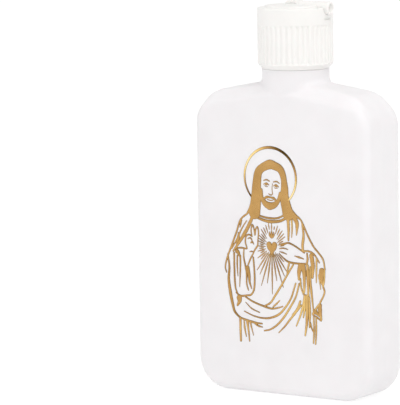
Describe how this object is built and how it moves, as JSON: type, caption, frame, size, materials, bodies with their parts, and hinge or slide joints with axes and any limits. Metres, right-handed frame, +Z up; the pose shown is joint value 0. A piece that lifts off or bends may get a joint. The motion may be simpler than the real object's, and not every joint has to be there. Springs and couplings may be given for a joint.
{
  "type": "water bottle",
  "caption": "Flat flask-shaped plastic bottle for holy water, with a ribbed screw cap, a sealing washer and a spout that swings up from the cap to pour.",
  "frame": {"origin": "middle of the base, on the surface that the bottle stands on", "axes": "+Z up along the neck, -Y out of the printed front face, +X to the right seen from the front, along the closed spout"},
  "size_m": [0.0644, 0.024, 0.1249],
  "materials": {
    "bottle_plastic": "milky white, satin, slightly translucent",
    "cap_plastic": "opaque warm white, satin",
    "washer_foam": "closed-cell foam, matt",
    "gold_foil": "bright hot-stamped gold foil"
  },
  "bodies": {
    "bottle": {"bottle": "bottle_plastic"},
    "seal_washer": {"seal_washer": "washer_foam"},
    "cap": {"cap": "cap_plastic"},
    "spout": {"spout": "cap_plastic"}
  },
  "joints": [
    {"name": "cap_lift", "type": "slide", "parent": "bottle", "child": "seal_washer", "axis": [0, 0, 1], "range_m": [0, 0.00477]},
    {"name": "cap_turn", "type": "hinge", "parent": "seal_washer", "child": "cap", "pos_m": [0, 0, 0.1188], "axis": [0, 0, 1], "range_deg": [0, 540]},
    {"name": "spout_flip", "type": "hinge", "parent": "cap", "child": "spout", "pos_m": [0, 0, 0.12241], "axis": [0, -1, 0], "range_deg": [0, 90]}
  ],
  "couplings": [
    {"joint": "cap_lift", "follows": "cap_turn", "m_per_rad": 0.00050532}
  ]
}
